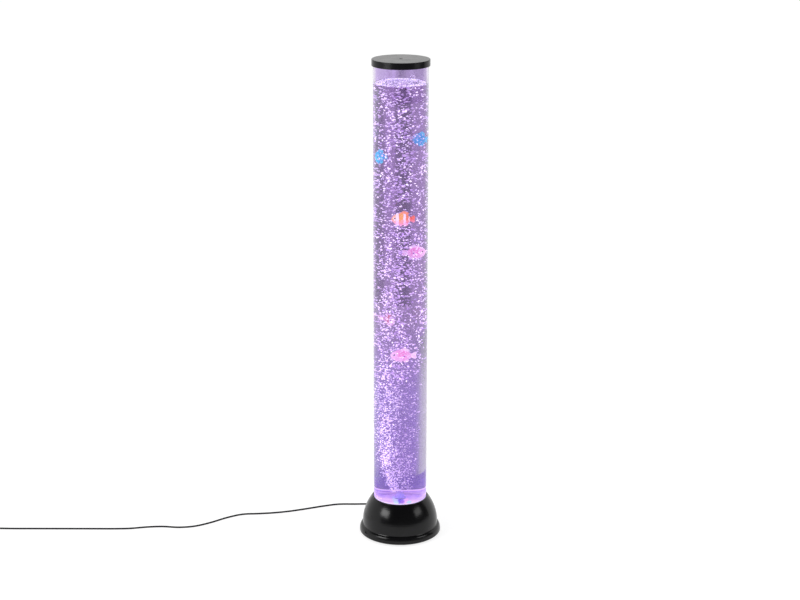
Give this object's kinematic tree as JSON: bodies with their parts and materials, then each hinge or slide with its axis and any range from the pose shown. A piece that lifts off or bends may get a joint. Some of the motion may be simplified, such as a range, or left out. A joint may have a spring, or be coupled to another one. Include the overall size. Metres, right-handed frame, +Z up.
{
  "type": "bubble tube floor lamp",
  "caption": "Free-standing water-filled acrylic tube with toy fish and a press-on lid, on a glossy base that holds an air pump, LEDs and a mode button, with a low-voltage cord.",
  "frame": {"origin": "centre of the base on the floor", "axes": "+Z up along the tube, -Y towards the front, the cord leaves at +Y"},
  "size_m": [1.0254, 0.2225, 1],
  "materials": {
    "lid_black": "satin moulded, fine grain",
    "clear_acrylic": "polished clear acrylic",
    "water": "water, lit violet from below",
    "white_nozzle": "semi-gloss moulded",
    "fish_blue": "painted, satin",
    "fish_orange": "painted in orange and white bands",
    "fish_pink": "painted, with darker patches",
    "fish_red": "painted red and white",
    "base_black": "high-gloss moulded",
    "tray_black": "fine spark texture",
    "rubber_black": "matt",
    "screw_steel": "zinc plated",
    "board_white": "white solder mask",
    "board_green": "green solder mask",
    "led_cream": "LED package",
    "part_white": "moulded",
    "button_black": "matt",
    "pump_grey": "moulded",
    "core_steel": "lacquered laminations",
    "coil_copper": "enamelled copper winding",
    "magnet_grey": "nickel plated",
    "clear_part": "natural, translucent",
    "valve_blue": "translucent blue",
    "hose_clear": "translucent silicone",
    "wire_red": "insulation",
    "cord_black": "satin sheath",
    "adaptor_black": "fine spark texture",
    "pin_metal": "nickel plated"
  },
  "bodies": {
    "base": {"tube": "clear_acrylic", "tube_bottom_disc": "clear_acrylic", "seat_gasket": "rubber_black", "tube_screws": "screw_steel", "water": "water", "air_nozzle": "white_nozzle", "nozzle_seals": "rubber_black", "nozzle_nut": "white_nozzle", "bubble_head": "white_nozzle", "dome": "base_black", "base_tray": "tray_black", "rubber_feet": "rubber_black", "base_screws": "screw_steel", "led_board": "board_white", "leds": "led_cream", "led_board_screws": "screw_steel", "control_board": "board_green", "board_parts": "part_white", "board_screws": "screw_steel", "switch_body": "pump_grey", "pump_housing": "pump_grey", "pump_cover": "pump_grey", "pump_core": "core_steel", "pump_bobbin": "part_white", "pump_coil": "coil_copper", "pump_pivot_pin": "screw_steel", "pump_diaphragm": "rubber_black", "pump_valve_block": "clear_part", "pump_valve_flaps": "rubber_black", "pump_mounts": "rubber_black", "pump_screws": "screw_steel", "check_valve_inlet": "clear_part", "check_valve_outlet": "valve_blue", "pump_hose": "hose_clear", "nozzle_hose": "hose_clear", "led_wires": "wire_red", "pump_wires": "wire_red", "supply_wires": "wire_red", "strain_relief": "cord_black", "cord": "cord_black", "cord_coil": "cord_black", "cord_tie": "adaptor_black", "adaptor_case": "adaptor_black", "adaptor_cover": "adaptor_black", "adaptor_pins": "pin_metal", "adaptor_relief": "cord_black"},
    "lid_body": {"lid": "lid_black"},
    "swimmer_blue_upper": {"fish_blue_upper": "fish_blue"},
    "swimmer_blue_lower": {"fish_blue_lower": "fish_blue"},
    "swimmer_striped": {"fish_striped": "fish_orange"},
    "swimmer_pink_upper": {"fish_pink_upper": "fish_pink"},
    "swimmer_red": {"fish_red": "fish_red"},
    "swimmer_pink_lower": {"fish_pink_lower": "fish_pink"},
    "button_body": {"mode_button": "button_black", "switch_plunger": "button_black"},
    "lever_body": {"pump_arm": "part_white", "pump_magnet": "magnet_grey"},
    "valve_body": {"check_valve_disc": "rubber_black"}
  },
  "joints": [
    {"name": "lid_lift", "type": "slide", "parent": "base", "child": "lid_body", "axis": [0, 0, 1], "range_m": [0, 0.04]},
    {"name": "swim_blue_upper", "type": "slide", "parent": "base", "child": "swimmer_blue_upper", "axis": [0, 0, 1], "range_m": [-0.73, 0.097], "deforming": ["water"]},
    {"name": "swim_blue_lower", "type": "slide", "parent": "base", "child": "swimmer_blue_lower", "axis": [0, 0, 1], "range_m": [-0.698, 0.129], "deforming": ["water"]},
    {"name": "swim_striped", "type": "slide", "parent": "base", "child": "swimmer_striped", "axis": [0, 0, 1], "range_m": [-0.577, 0.248], "deforming": ["water"]},
    {"name": "swim_pink_upper", "type": "slide", "parent": "base", "child": "swimmer_pink_upper", "axis": [0, 0, 1], "range_m": [-0.503, 0.324], "deforming": ["water"]},
    {"name": "swim_red", "type": "slide", "parent": "base", "child": "swimmer_red", "axis": [0, 0, 1], "range_m": [-0.356, 0.473], "deforming": ["water"]},
    {"name": "swim_pink_lower", "type": "slide", "parent": "base", "child": "swimmer_pink_lower", "axis": [0, 0, 1], "range_m": [-0.288, 0.537], "deforming": ["water"]},
    {"name": "button_press", "type": "slide", "parent": "base", "child": "button_body", "axis": [0.848, 0.5299, 0], "range_m": [0, 0.0008], "stiffness_N_per_m": 1500, "springref_m": -0.001},
    {"name": "lever_swing", "type": "hinge", "parent": "base", "child": "lever_body", "pos_m": [0.00737, 0.02029, 0.0185], "axis": [0, 0, 1], "range_deg": [-2, 2], "stiffness_Nm_per_rad": 0.4, "deforming": ["pump_diaphragm"]},
    {"name": "valve_open", "type": "slide", "parent": "base", "child": "valve_body", "axis": [-0.848, -0.5299, 0], "range_m": [0, 0.001]}
  ]
}
